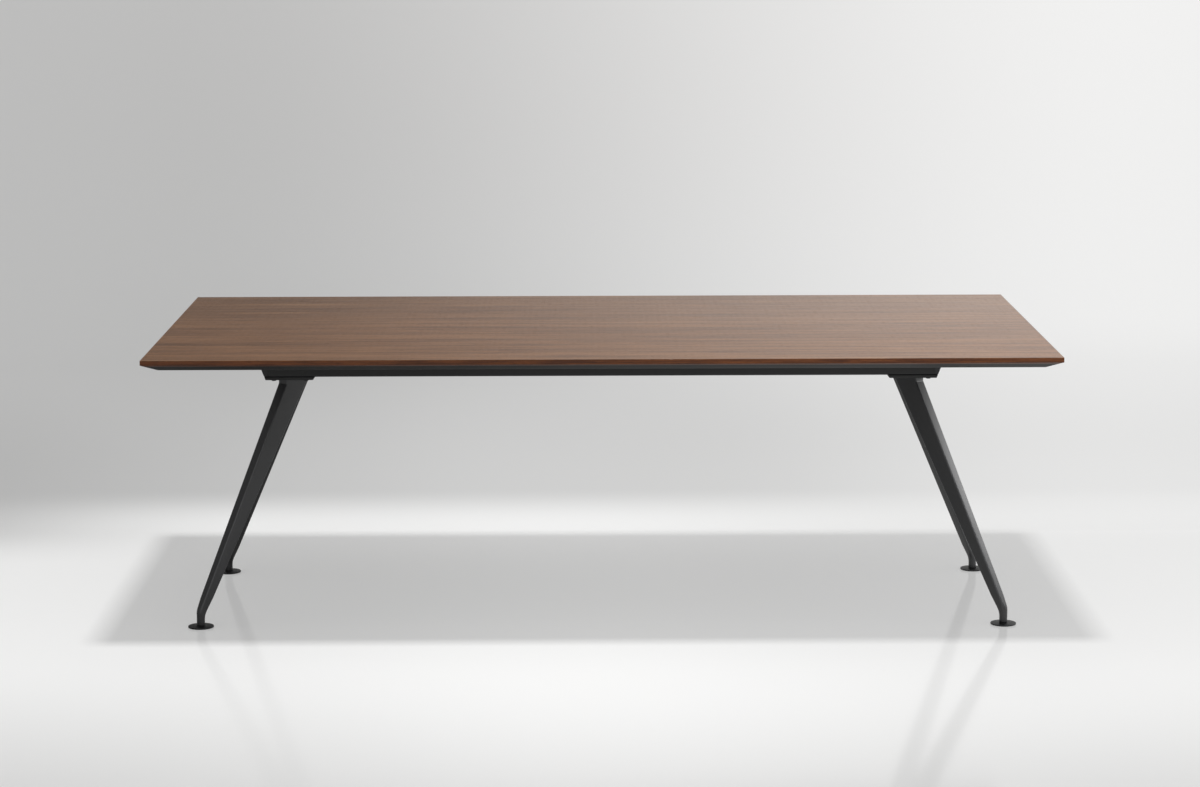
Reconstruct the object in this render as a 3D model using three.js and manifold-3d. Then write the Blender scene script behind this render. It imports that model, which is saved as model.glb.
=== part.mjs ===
// Conference table: a bevelled walnut top on two steel rails, with four splayed cast legs and levelling feet.
// Millimetres. X runs along the table, Y across it with the front at -Y, and Z up. The origin is on the floor
// under the middle of the top.

import * as THREE from "three";
import { mergeVertices } from "three/addons/utils/BufferGeometryUtils.js";
import Module from "manifold-3d";

const wasm = await Module();
wasm.setup();

// Overall sizes
const TOP_LENGTH = 2300;
const TOP_DEPTH = 1200;
const TABLE_HEIGHT = 745;

// Top panel: the edge stands upright for EDGE_HEIGHT, then the underside is bevelled back by BEVEL_RUN
const TOP_THICKNESS = 30;
const EDGE_HEIGHT = 12;
const BEVEL_RUN = 40;
const LIPPING_WIDTH = 10;
const VENEER_THICKNESS = 0.8;
const BACKER_THICKNESS = 0.8;

// Box rails: the frame width is over both outer faces, the overhang is from a tube's end to the top's end
const END_OVERHANG = 270;
const RAIL_FRAME_WIDTH = 284;
const RAIL_HEIGHT = 60;
const RAIL_WIDTH = 40;
const RAIL_WALL = 2.5;
const RAIL_CORNER_RADIUS = 5;

// Rail end caps: the toe is how far the cap stands out of the tube at the bottom, below its raked end
const CAP_TOE = 8.5;
const CAP_RAKE = THREE.MathUtils.degToRad(21);
const CAP_SPIGOT_LENGTH = 5;

// Channel bearers across the rails, shallower towards their tips, the outer two set back from the tubes' ends
const BEARER_LENGTH = 900;
const BEARER_WIDTH = 50;
const BEARER_DEPTH = 25;
const BEARER_TIP_DEPTH = 10;
const BEARER_LEVEL_LENGTH = 400;
const BEARER_WALL = 3;
const BEARER_SETBACK = 80;

// End plates under the rails
const PLATE_LENGTH = 125;
const PLATE_THICKNESS = 8;
const PLATE_CHAMFER = 6;

// Legs: the seat is the middle of a leg's upper face, the reach is its level distance to the foot
const LEG_SEAT_SETBACK = 65;
const LEG_SEAT_INSET = 45;
const LEG_REACH = 328;
const LEG_SPLAY = THREE.MathUtils.degToRad(45);
const LEG_TOP_LENGTH = 78;
const LEG_TOP_WIDTH = 33;
const LEG_NECK_HEIGHT = 12;
const LEG_CORNER_RADIUS = 4;
const POST_DIAMETER = 21;
const OUTER_KNEE_HEIGHT = 42.5;
const INNER_KNEE_HEIGHT = 33;
const OUTER_KNEE_ROUNDING = 5;
const INNER_KNEE_ROUNDING = 8;
const KNEE_BLEND_HEIGHT = 42;

// Levelling feet
const DISC_DIAMETER = 67;
const DISC_RIM_HEIGHT = 3.6;
const DISC_CROWN = 1.4;
const DISC_FLAT_DIAMETER = 26;
const DISC_EDGE_ROUNDING = 1.2;
const DISC_FLOOR = 1;
const SOLE_DIAMETER = 60;
const SOLE_THICKNESS = 2;
const SOLE_RECESS = 1;
const STEM_DIAMETER = 10;
const STEM_LENGTH = 39;
const STEM_HEX_WIDTH = 11;
const STEM_HEX_HEIGHT = 6;
const STEM_POINT = 1;

// Fasteners
const BOLT_DIAMETER = 8;
const BOLT_HEAD_DIAMETER = 14;
const BOLT_HEAD_HEIGHT = 4.5;
const BOLT_LENGTH = 20;
const RAIL_BOLT_SETBACK = 15;
const RAIL_BOLT_INSET = 19;
const NUT_BAR_WIDTH = 30;
const NUT_BAR_THICKNESS = 8;
const LEG_SCREW_DIAMETER = 8;
const LEG_SCREW_HEAD_DIAMETER = 16;
const LEG_SCREW_LENGTH = 36;
const LEG_SCREW_EDGE = 12;
const TOP_SCREW_DIAMETER = 5;
const TOP_SCREW_HEAD_DIAMETER = 10;
const TOP_SCREW_HEAD_HEIGHT = 3;
const TOP_SCREW_LENGTH = 20;
const TOP_SCREW_INSET = 40;
const SCREW_HEAD_EDGE = 1;
const SCREW_POINT = 1;

// Gap between a piece and the hole or recess that it fits in
const FIT_GAP = 0.3;
// Depth by which a cutter or a joined piece runs past the face that it starts from
const OVERRUN = 2;

// Sides of round pieces and of a leg's section, and steps to a rounded corner of a rail
const ROUND_SIDES = 12;
const DISC_SIDES = 28;
const LEG_SIDES = 20;
const CORNER_STEPS = 2;
const KNEE_LEVELS = 10;

// Heights and places worked out from the sizes above
const TOP_UNDERSIDE = TABLE_HEIGHT - TOP_THICKNESS;
const RAIL_TOP = TOP_UNDERSIDE - BEARER_DEPTH;
const RAIL_BOTTOM = RAIL_TOP - RAIL_HEIGHT;
const PLATE_BOTTOM = RAIL_BOTTOM - PLATE_THICKNESS;
const RAIL_END = TOP_LENGTH / 2 - END_OVERHANG;
const RAIL_Y = RAIL_FRAME_WIDTH / 2 - RAIL_WIDTH / 2;
const PLATE_OUTER_TOP = RAIL_END + CAP_TOE;
const PLATE_OUTER = PLATE_OUTER_TOP - PLATE_THICKNESS * Math.tan(CAP_RAKE);
const PLATE_INNER = PLATE_OUTER - PLATE_LENGTH;
const BOLT_X = { outer: RAIL_END - RAIL_BOLT_SETBACK, inner: PLATE_INNER + RAIL_BOLT_INSET };
const FOOT_X = RAIL_END - LEG_SEAT_SETBACK + LEG_REACH * Math.cos(LEG_SPLAY);
const FOOT_Y = RAIL_FRAME_WIDTH / 2 - LEG_SEAT_INSET + LEG_REACH * Math.sin(LEG_SPLAY);
const DISC_BOTTOM = SOLE_THICKNESS - SOLE_RECESS;
const DISC_TOP = DISC_BOTTOM + DISC_RIM_HEIGHT + DISC_CROWN;
const POST_BOTTOM = DISC_TOP + FIT_GAP;
const STEM_BOTTOM = SOLE_THICKNESS + DISC_FLOOR;
const BEARER_PITCH = RAIL_END - BEARER_SETBACK;
const BEARER_X = { left: -BEARER_PITCH, middle: 0, right: BEARER_PITCH };
const TOP_SCREW_Y = BEARER_LENGTH / 2 - TOP_SCREW_INSET;

const ENDS = { left: -1, right: 1 };
const SIDES = { front: -1, back: 1 };

const COLOURS = {
  veneer: { color: 0x8f7461, roughness: 0.42, metalness: 0 },
  lipping: { color: 0x5c3826, roughness: 0.45, metalness: 0 },
  blackBoard: { color: 0x2b2927, roughness: 0.55, metalness: 0 },
  blackSteel: { color: 0x2c2d2f, roughness: 0.5, metalness: 0.2 },
  blackCasting: { color: 0x303133, roughness: 0.42, metalness: 0.2 },
  blackPlastic: { color: 0x262627, roughness: 0.6, metalness: 0 },
  zinc: { color: 0x9a9c9f, roughness: 0.35, metalness: 1 },
  rubber: { color: 0x1d1d1e, roughness: 0.9, metalness: 0 },
};

// Solids and geometries

function solidOf(geometry) {
  const bare = geometry.clone();
  bare.deleteAttribute("normal");
  bare.deleteAttribute("uv");
  const merged = mergeVertices(bare);
  return new wasm.Manifold(new wasm.Mesh({
    numProp: 3,
    vertProperties: new Float32Array(merged.attributes.position.array),
    triVerts: new Uint32Array(merged.index.array),
  }));
}

function geometryOf(solid) {
  const mesh = solid.getMesh();
  const geometry = new THREE.BufferGeometry();
  geometry.setAttribute("position", new THREE.BufferAttribute(mesh.vertProperties, 3));
  geometry.setIndex(new THREE.BufferAttribute(mesh.triVerts, 1));
  geometry.computeVertexNormals();
  return geometry;
}

// A closed skin over rings of equally many points, each ring anticlockwise as seen from the last one's side
function loft(rings) {
  const count = rings[0].length;
  const index = [];
  for (let ring = 0; ring + 1 < rings.length; ring += 1) {
    for (let k = 0; k < count; k += 1) {
      const a = ring * count + k;
      const b = ring * count + (k + 1) % count;
      index.push(a, b, b + count, a, b + count, a + count);
    }
  }
  const last = (rings.length - 1) * count;
  for (let k = 1; k + 1 < count; k += 1) {
    index.push(0, k + 1, k);
    index.push(last, last + k, last + k + 1);
  }
  const geometry = new THREE.BufferGeometry().setFromPoints(rings.flat());
  geometry.setIndex(index);
  geometry.computeVertexNormals();
  return geometry;
}

// A round solid about the Z axis, from (radius, height) points that start and end on the axis, lowest first
function turned(points, sides) {
  const profile = points.map(([radius, height]) => new THREE.Vector2(radius, height));
  return new THREE.LatheGeometry(profile, sides).rotateX(Math.PI / 2);
}

// A screw pointing up, with its seat at a height and a head below it, chamfered under a plain edge
function headedScrew(seat, headDiameter, headHeight, diameter, length, point) {
  const head = headDiameter / 2;
  const shank = diameter / 2;
  const chamfer = headHeight - SCREW_HEAD_EDGE;
  return turned([
    [0, seat - headHeight],
    [head - chamfer, seat - headHeight],
    [head, seat - SCREW_HEAD_EDGE],
    [head, seat],
    [shank, seat],
    [shank, seat + length - point],
    [shank - point, seat + length],
    [0, seat + length],
  ], ROUND_SIDES);
}

function outline(points) {
  return new THREE.Shape(points.map(([u, v]) => new THREE.Vector2(u, v)));
}

function roundedRectangle(width, height, radius) {
  const shape = new THREE.Shape();
  const x = width / 2 - radius;
  const y = height / 2 - radius;
  shape.absarc(x, -y, radius, -Math.PI / 2, 0);
  shape.absarc(x, y, radius, 0, Math.PI / 2);
  shape.absarc(-x, y, radius, Math.PI / 2, Math.PI);
  shape.absarc(-x, -y, radius, Math.PI, 1.5 * Math.PI);
  return shape;
}

// A shape drawn in Y and Z, carried along X from one place to another
function alongX(shape, from, to) {
  const options = { depth: to - from, bevelEnabled: false, curveSegments: CORNER_STEPS };
  const geometry = new THREE.ExtrudeGeometry(shape, options).translate(0, 0, from);
  const axes = [new THREE.Vector3(0, 1, 0), new THREE.Vector3(0, 0, 1), new THREE.Vector3(1, 0, 0)];
  return geometry.applyMatrix4(new THREE.Matrix4().makeBasis(...axes));
}

// A shape drawn in X and Z, carried along Y, with its middle at Y = 0
function acrossY(shape, width) {
  const geometry = new THREE.ExtrudeGeometry(shape, { depth: width, bevelEnabled: false });
  return geometry.translate(0, 0, -width / 2).rotateX(Math.PI / 2);
}

function roundBar(diameter, from, to, x, y) {
  const radius = diameter / 2;
  const geometry = new THREE.CylinderGeometry(radius, radius, to - from, ROUND_SIDES);
  return solidOf(geometry.rotateX(Math.PI / 2).translate(x, y, (from + to) / 2));
}

function cutAll(solid, cutters) {
  return cutters.reduce((rest, cutter) => rest.subtract(cutter), solid);
}

const table = new THREE.Group();

function addPiece(name, geometry, colour, x = 0, y = 0, turn = 0) {
  const mesh = new THREE.Mesh(geometry, new THREE.MeshStandardMaterial(COLOURS[colour]));
  mesh.name = name;
  mesh.position.set(x, y, 0);
  mesh.rotation.z = turn;
  table.add(mesh);
}

// Top panel: veneer, core, backer and four mitred lippings

const BEVEL_SLOPE = (TOP_THICKNESS - EDGE_HEIGHT) / BEVEL_RUN;
const bevelDepth = (inset) => EDGE_HEIGHT + inset * BEVEL_SLOPE;
const bevelInset = (depth) => (depth - EDGE_HEIGHT) / BEVEL_SLOPE;

// A rectangle inside the top's outline, as a ring at a depth below the top's face
function topRing(inset, depth) {
  const x = TOP_LENGTH / 2 - inset;
  const y = TOP_DEPTH / 2 - inset;
  const z = TABLE_HEIGHT - depth;
  return [[-x, -y], [x, -y], [x, y], [-x, y]].map(([px, py]) => new THREE.Vector3(px, py, z));
}

function topScrewHoles() {
  const web = TOP_UNDERSIDE - BEARER_WALL;
  const tip = web + TOP_SCREW_LENGTH + FIT_GAP;
  const hole = (x, y) => roundBar(TOP_SCREW_DIAMETER + 2 * FIT_GAP, web - OVERRUN, tip, x, y);
  const pair = (x) => Object.values(SIDES).map((sign) => hole(x, sign * TOP_SCREW_Y));
  return Object.values(BEARER_X).flatMap(pair);
}

function topCore() {
  const bottom = TOP_THICKNESS - BACKER_THICKNESS;
  const rings = [
    topRing(bevelInset(bottom), bottom),
    topRing(LIPPING_WIDTH, bevelDepth(LIPPING_WIDTH)),
    topRing(LIPPING_WIDTH, VENEER_THICKNESS),
  ];
  return geometryOf(cutAll(solidOf(loft(rings)), topScrewHoles()));
}

function topBacker() {
  const upper = TOP_THICKNESS - BACKER_THICKNESS;
  const rings = [topRing(BEVEL_RUN, TOP_THICKNESS), topRing(bevelInset(upper), upper)];
  return geometryOf(cutAll(solidOf(loft(rings)), topScrewHoles()));
}

// A lipping along the -Y edge of a panel, with ends mitred by the same inset as its sides
function lipping(length, depth) {
  const section = [
    [0, EDGE_HEIGHT],
    [LIPPING_WIDTH, bevelDepth(LIPPING_WIDTH)],
    [LIPPING_WIDTH, VENEER_THICKNESS],
    [0, VENEER_THICKNESS],
  ];
  const ring = (end) => section.map(([inset, drop]) => new THREE.Vector3(
    end * (length / 2 - inset),
    inset - depth / 2,
    TABLE_HEIGHT - drop,
  ));
  return loft([ring(-1), ring(1)]);
}

addPiece("top_veneer", loft([topRing(0, VENEER_THICKNESS), topRing(0, 0)]), "veneer");
addPiece("top_core", topCore(), "blackBoard");
addPiece("top_backer", topBacker(), "blackBoard");
addPiece("lipping_front", lipping(TOP_LENGTH, TOP_DEPTH), "lipping");
addPiece("lipping_right", lipping(TOP_DEPTH, TOP_LENGTH), "lipping", 0, 0, Math.PI / 2);
addPiece("lipping_back", lipping(TOP_LENGTH, TOP_DEPTH), "lipping", 0, 0, Math.PI);
addPiece("lipping_left", lipping(TOP_DEPTH, TOP_LENGTH), "lipping", 0, 0, -Math.PI / 2);

// Bearers: channels with the web against the top and the flanges standing on the rails

function bearer() {
  const tip = BEARER_LENGTH / 2;
  const level = BEARER_LEVEL_LENGTH / 2;
  const tipBottom = TOP_UNDERSIDE - BEARER_TIP_DEPTH;
  const side = outline([
    [-tip, TOP_UNDERSIDE],
    [-tip, tipBottom],
    [-level, RAIL_TOP],
    [level, RAIL_TOP],
    [tip, tipBottom],
    [tip, TOP_UNDERSIDE],
  ]);
  const hollowEnd = tip + OVERRUN;
  const hollowTop = TOP_UNDERSIDE - BEARER_WALL;
  const hollow = outline([
    [-hollowEnd, hollowTop],
    [-hollowEnd, RAIL_TOP - OVERRUN],
    [hollowEnd, RAIL_TOP - OVERRUN],
    [hollowEnd, hollowTop],
  ]);
  const half = BEARER_WIDTH / 2;
  const inside = half - BEARER_WALL;
  const channel = solidOf(alongX(side, -half, half)).subtract(solidOf(alongX(hollow, -inside, inside)));
  const holes = Object.values(SIDES).map((sign) => roundBar(
    TOP_SCREW_DIAMETER + 2 * FIT_GAP,
    hollowTop - OVERRUN,
    TOP_UNDERSIDE + OVERRUN,
    0,
    sign * TOP_SCREW_Y,
  ));
  return geometryOf(cutAll(channel, holes));
}

function topScrew() {
  return headedScrew(
    TOP_UNDERSIDE - BEARER_WALL,
    TOP_SCREW_HEAD_DIAMETER,
    TOP_SCREW_HEAD_HEIGHT,
    TOP_SCREW_DIAMETER,
    TOP_SCREW_LENGTH,
    SCREW_POINT,
  );
}

for (const [place, x] of Object.entries(BEARER_X)) {
  addPiece(`bearer_${place}`, bearer(), "blackSteel", x);
  for (const [side, sign] of Object.entries(SIDES)) {
    addPiece(`top_screw_${place}_${side}`, topScrew(), "zinc", x, sign * TOP_SCREW_Y);
  }
}

// Rails: box tubes with bolt holes in the lower wall near each end

const RAIL_MIDDLE = (RAIL_TOP + RAIL_BOTTOM) / 2;
const boltHole = (from, to, x, y) => roundBar(BOLT_DIAMETER + 2 * FIT_GAP, from, to, x, y);

function rail() {
  const outer = roundedRectangle(RAIL_WIDTH, RAIL_HEIGHT, RAIL_CORNER_RADIUS);
  const innerRadius = Math.max(RAIL_CORNER_RADIUS - RAIL_WALL, RAIL_WALL / 2);
  outer.holes.push(roundedRectangle(RAIL_WIDTH - 2 * RAIL_WALL, RAIL_HEIGHT - 2 * RAIL_WALL, innerRadius));
  const tube = solidOf(alongX(outer, -RAIL_END, RAIL_END).translate(0, 0, RAIL_MIDDLE));
  const from = RAIL_BOTTOM - OVERRUN;
  const to = RAIL_BOTTOM + RAIL_WALL + OVERRUN;
  const places = Object.values(ENDS).flatMap((end) => Object.values(BOLT_X).map((x) => end * x));
  return geometryOf(cutAll(tube, places.map((x) => boltHole(from, to, x, 0))));
}

// An end cap, measured from the end of its tube: a nose with a raked end and a spigot inside the tube
function railCap() {
  const crest = CAP_TOE + RAIL_HEIGHT * Math.tan(CAP_RAKE);
  const bar = roundedRectangle(RAIL_WIDTH, RAIL_HEIGHT, RAIL_CORNER_RADIUS);
  const wedge = outline([[0, RAIL_BOTTOM], [CAP_TOE, RAIL_BOTTOM], [crest, RAIL_TOP], [0, RAIL_TOP]]);
  const blank = solidOf(alongX(bar, 0, crest).translate(0, 0, RAIL_MIDDLE));
  const nose = blank.intersect(solidOf(acrossY(wedge, RAIL_WIDTH)));
  const inset = 2 * (RAIL_WALL + FIT_GAP);
  const plug = roundedRectangle(RAIL_WIDTH - inset, RAIL_HEIGHT - inset, RAIL_CORNER_RADIUS);
  const spigot = solidOf(alongX(plug, -CAP_SPIGOT_LENGTH, OVERRUN).translate(0, 0, RAIL_MIDDLE));
  return geometryOf(nose.add(spigot));
}

// A tapped bar on the floor of the tube, reaching from the cap's spigot past both bolts by the same distance
function nutBar() {
  const outerEnd = RAIL_END - CAP_SPIGOT_LENGTH - FIT_GAP;
  const innerEnd = BOLT_X.inner - (outerEnd - BOLT_X.outer);
  const bottom = RAIL_BOTTOM + RAIL_WALL;
  const top = bottom + NUT_BAR_THICKNESS;
  const side = outline([[innerEnd, bottom], [outerEnd, bottom], [outerEnd, top], [innerEnd, top]]);
  const bar = solidOf(acrossY(side, NUT_BAR_WIDTH));
  const holes = Object.values(BOLT_X).map((x) => boltHole(bottom - OVERRUN, top + OVERRUN, x, 0));
  return geometryOf(cutAll(bar, holes));
}

function railBolt() {
  return headedScrew(
    PLATE_BOTTOM,
    BOLT_HEAD_DIAMETER,
    BOLT_HEAD_HEIGHT,
    BOLT_DIAMETER,
    BOLT_LENGTH,
    SCREW_POINT,
  );
}

for (const [side, sideSign] of Object.entries(SIDES)) {
  const y = sideSign * RAIL_Y;
  addPiece(`rail_${side}`, rail(), "blackSteel", 0, y);
  for (const [end, endSign] of Object.entries(ENDS)) {
    const turn = endSign > 0 ? 0 : Math.PI;
    addPiece(`rail_cap_${side}_${end}`, railCap(), "blackPlastic", endSign * RAIL_END, y, turn);
    addPiece(`nut_bar_${side}_${end}`, nutBar(), "zinc", 0, y, turn);
    for (const [place, x] of Object.entries(BOLT_X)) {
      addPiece(`rail_bolt_${side}_${end}_${place}`, railBolt(), "zinc", endSign * x, y);
    }
  }
}

// Legs, drawn from the foot's axis towards the middle of the table along local X

const POST_RADIUS = POST_DIAMETER / 2;
const NECK_BOTTOM = PLATE_BOTTOM - LEG_NECK_HEIGHT;
const LEG_TOP_OUTER = LEG_REACH - LEG_TOP_LENGTH / 2;
const LEG_TOP_INNER = LEG_REACH + LEG_TOP_LENGTH / 2;

// The larger of two values, rounded off where they are within a distance of each other
function roundedMax(a, b, distance) {
  const near = Math.max(distance - Math.abs(a - b), 0);
  return Math.max(a, b) + near * near / (4 * distance);
}

function legOuterEdge(z) {
  const rise = (Math.min(z, NECK_BOTTOM) - OUTER_KNEE_HEIGHT) / (NECK_BOTTOM - OUTER_KNEE_HEIGHT);
  return roundedMax(-POST_RADIUS, -POST_RADIUS + rise * (LEG_TOP_OUTER + POST_RADIUS), OUTER_KNEE_ROUNDING);
}

function legInnerEdge(z) {
  const rise = (z - INNER_KNEE_HEIGHT) / (PLATE_BOTTOM - INNER_KNEE_HEIGHT);
  return roundedMax(POST_RADIUS, POST_RADIUS + rise * (LEG_TOP_INNER - POST_RADIUS), INNER_KNEE_ROUNDING);
}

// A level section of the leg: round in the post, then a rounded rectangle that widens to the top
function legRing(z) {
  const outer = legOuterEdge(z);
  const inner = legInnerEdge(z);
  const above = Math.max(z - INNER_KNEE_HEIGHT, 0);
  const width = POST_DIAMETER + (LEG_TOP_WIDTH - POST_DIAMETER) * above / (PLATE_BOTTOM - INNER_KNEE_HEIGHT);
  const blend = Math.min(above / KNEE_BLEND_HEIGHT, 1);
  const radius = THREE.MathUtils.lerp(POST_RADIUS, LEG_CORNER_RADIUS, blend);
  const points = [];
  for (let k = 0; k < LEG_SIDES; k += 1) {
    const angle = (k + 0.5) * 2 * Math.PI / LEG_SIDES;
    const across = Math.cos(angle);
    const along = Math.sin(angle);
    points.push(new THREE.Vector3(
      (outer + inner) / 2 + Math.sign(across) * ((inner - outer) / 2 - radius) + radius * across,
      Math.sign(along) * (width / 2 - radius) + radius * along,
      z,
    ));
  }
  return points;
}

// Levels of the leg's sections: close together round the knee, with one at each end of the neck
function legLevels() {
  const kneeTop = INNER_KNEE_HEIGHT + KNEE_BLEND_HEIGHT;
  const kneeBottom = (POST_BOTTOM + INNER_KNEE_HEIGHT) / 2;
  const knee = Array.from({ length: KNEE_LEVELS }, (_, k) => (
    THREE.MathUtils.lerp(kneeBottom, kneeTop, k / (KNEE_LEVELS - 1))
  ));
  return [POST_BOTTOM, ...knee, NECK_BOTTOM, PLATE_BOTTOM];
}

// The leg screws stand in the leg's top, an edge distance inside it at the face and at their tips
const LEG_SCREW_TIP = RAIL_BOTTOM - LEG_SCREW_LENGTH;
const LEG_SCREW_S = {
  outer: LEG_TOP_OUTER + LEG_SCREW_EDGE,
  inner: legInnerEdge(LEG_SCREW_TIP) - LEG_SCREW_EDGE,
};

function leg() {
  const stemTop = STEM_BOTTOM + STEM_LENGTH;
  const hexTop = POST_BOTTOM + STEM_HEX_HEIGHT;
  const hexDiameter = STEM_HEX_WIDTH / Math.cos(Math.PI / 6);
  const start = POST_BOTTOM - OVERRUN;
  const tapping = (s) => roundBar(
    LEG_SCREW_DIAMETER + 2 * FIT_GAP,
    LEG_SCREW_TIP - FIT_GAP,
    PLATE_BOTTOM + OVERRUN,
    s,
    0,
  );
  return geometryOf(cutAll(solidOf(loft(legLevels().map(legRing))), [
    roundBar(STEM_DIAMETER + 2 * FIT_GAP, start, stemTop + FIT_GAP, 0, 0),
    roundBar(hexDiameter + 3 * FIT_GAP, start, hexTop + FIT_GAP, 0, 0),
    ...Object.values(LEG_SCREW_S).map(tapping),
  ]));
}

function legScrew() {
  const headTop = RAIL_BOTTOM - FIT_GAP;
  const shank = LEG_SCREW_DIAMETER / 2;
  const head = LEG_SCREW_HEAD_DIAMETER / 2;
  const neck = RAIL_BOTTOM - (head - shank);
  return turned([
    [0, LEG_SCREW_TIP],
    [shank, LEG_SCREW_TIP],
    [shank, neck],
    [head - FIT_GAP, headTop],
    [0, headTop],
  ], ROUND_SIDES);
}

function legScrewHole(x, y) {
  const shank = LEG_SCREW_DIAMETER / 2 + FIT_GAP;
  const head = LEG_SCREW_HEAD_DIAMETER / 2 + FIT_GAP;
  const hole = turned([
    [0, PLATE_BOTTOM - OVERRUN],
    [shank, PLATE_BOTTOM - OVERRUN],
    [shank, RAIL_BOTTOM - (head - shank)],
    [head, RAIL_BOTTOM],
    [head, RAIL_BOTTOM + OVERRUN],
    [0, RAIL_BOTTOM + OVERRUN],
  ], ROUND_SIDES);
  return solidOf(hole.translate(x, y, 0));
}

// Where a point of the right-hand legs lies, at a distance from the foot's axis along the splay
const legX = (s) => FOOT_X - s * Math.cos(LEG_SPLAY);
const legY = (s) => FOOT_Y - s * Math.sin(LEG_SPLAY);

// The right-hand end plate: its outer end follows the rake of the caps, its inner end is chamfered
function endPlate() {
  const side = outline([
    [PLATE_INNER, PLATE_BOTTOM],
    [PLATE_OUTER, PLATE_BOTTOM],
    [PLATE_OUTER_TOP, RAIL_BOTTOM],
    [PLATE_INNER - PLATE_CHAMFER, RAIL_BOTTOM],
  ]);
  const from = PLATE_BOTTOM - OVERRUN;
  const to = RAIL_BOTTOM + OVERRUN;
  const holes = Object.values(SIDES).flatMap((sign) => [
    ...Object.values(LEG_SCREW_S).map((s) => legScrewHole(legX(s), sign * legY(s))),
    ...Object.values(BOLT_X).map((x) => boltHole(from, to, x, sign * RAIL_Y)),
  ]);
  return geometryOf(cutAll(solidOf(acrossY(side, RAIL_FRAME_WIDTH)), holes));
}

// Levelling feet: a disc on a soft sole, and a stem that turns in the disc's socket and screws into the leg

function footDisc() {
  const edge = DISC_DIAMETER / 2;
  const rimTop = DISC_BOTTOM + DISC_RIM_HEIGHT;
  const socket = STEM_DIAMETER / 2 + FIT_GAP;
  const recess = SOLE_DIAMETER / 2 + FIT_GAP;
  const recessRoof = DISC_BOTTOM + SOLE_RECESS;
  return turned([
    [0, recessRoof],
    [recess, recessRoof],
    [recess, DISC_BOTTOM],
    [edge - DISC_EDGE_ROUNDING / 2, DISC_BOTTOM],
    [edge, DISC_BOTTOM + DISC_EDGE_ROUNDING / 2],
    [edge, rimTop - DISC_EDGE_ROUNDING],
    [edge - DISC_EDGE_ROUNDING, rimTop],
    [DISC_FLAT_DIAMETER / 2, DISC_TOP],
    [socket, DISC_TOP],
    [socket, STEM_BOTTOM],
    [0, STEM_BOTTOM],
  ], DISC_SIDES);
}

function footSole() {
  const radius = SOLE_DIAMETER / 2;
  return turned([[0, 0], [radius, 0], [radius, SOLE_THICKNESS], [0, SOLE_THICKNESS]], DISC_SIDES);
}

function footStem() {
  const radius = STEM_DIAMETER / 2;
  const top = STEM_BOTTOM + STEM_LENGTH;
  const shank = turned([
    [0, STEM_BOTTOM],
    [radius, STEM_BOTTOM],
    [radius, top - STEM_POINT],
    [radius - STEM_POINT, top],
    [0, top],
  ], ROUND_SIDES);
  const hexRadius = STEM_HEX_WIDTH / 2 / Math.cos(Math.PI / 6);
  const hex = new THREE.CylinderGeometry(hexRadius, hexRadius, STEM_HEX_HEIGHT, 6).rotateX(Math.PI / 2);
  return geometryOf(solidOf(shank).add(solidOf(hex.translate(0, 0, POST_BOTTOM + STEM_HEX_HEIGHT / 2))));
}

for (const [end, endSign] of Object.entries(ENDS)) {
  addPiece(`end_plate_${end}`, endPlate(), "blackSteel", 0, 0, endSign > 0 ? 0 : Math.PI);
  for (const [side, sideSign] of Object.entries(SIDES)) {
    const corner = `${side}_${end}`;
    const x = endSign * FOOT_X;
    const y = sideSign * FOOT_Y;
    const turn = Math.atan2(-sideSign * Math.sin(LEG_SPLAY), -endSign * Math.cos(LEG_SPLAY));
    addPiece(`leg_${corner}`, leg(), "blackCasting", x, y, turn);
    for (const [place, s] of Object.entries(LEG_SCREW_S)) {
      addPiece(`leg_screw_${corner}_${place}`, legScrew(), "zinc", endSign * legX(s), sideSign * legY(s));
    }
    addPiece(`foot_disc_${corner}`, footDisc(), "blackPlastic", x, y);
    addPiece(`foot_sole_${corner}`, footSole(), "rubber", x, y);
    addPiece(`foot_stem_${corner}`, footStem(), "zinc", x, y);
  }
}

export default table;
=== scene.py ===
"""Conference table: a bevelled walnut top on black steel rails, splayed cast legs and levelling feet."""

import math

import bmesh
import bpy
import numpy as np
from bpy.props import FloatProperty, FloatVectorProperty, PointerProperty
from mathutils import Matrix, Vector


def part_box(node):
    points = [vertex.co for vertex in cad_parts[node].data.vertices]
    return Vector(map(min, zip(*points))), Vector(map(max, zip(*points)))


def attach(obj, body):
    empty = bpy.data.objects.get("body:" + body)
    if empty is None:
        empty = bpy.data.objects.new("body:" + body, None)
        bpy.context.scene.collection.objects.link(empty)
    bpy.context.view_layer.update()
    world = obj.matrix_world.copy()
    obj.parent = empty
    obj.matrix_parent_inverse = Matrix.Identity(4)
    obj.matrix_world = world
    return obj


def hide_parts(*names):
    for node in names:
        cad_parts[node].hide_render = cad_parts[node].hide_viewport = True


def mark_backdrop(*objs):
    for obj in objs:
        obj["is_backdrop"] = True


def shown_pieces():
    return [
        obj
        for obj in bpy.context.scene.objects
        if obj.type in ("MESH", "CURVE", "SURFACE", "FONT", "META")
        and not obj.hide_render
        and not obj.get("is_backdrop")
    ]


bl_info = {
    "name": "Conference Table",
    "version": (1, 0, 0),
    "blender": (4, 5, 0),
    "location": "3D View > Sidebar > Table",
    "description": "Builds and finishes the pieces of a conference table over its frame",
    "category": "Add Mesh",
}

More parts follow.
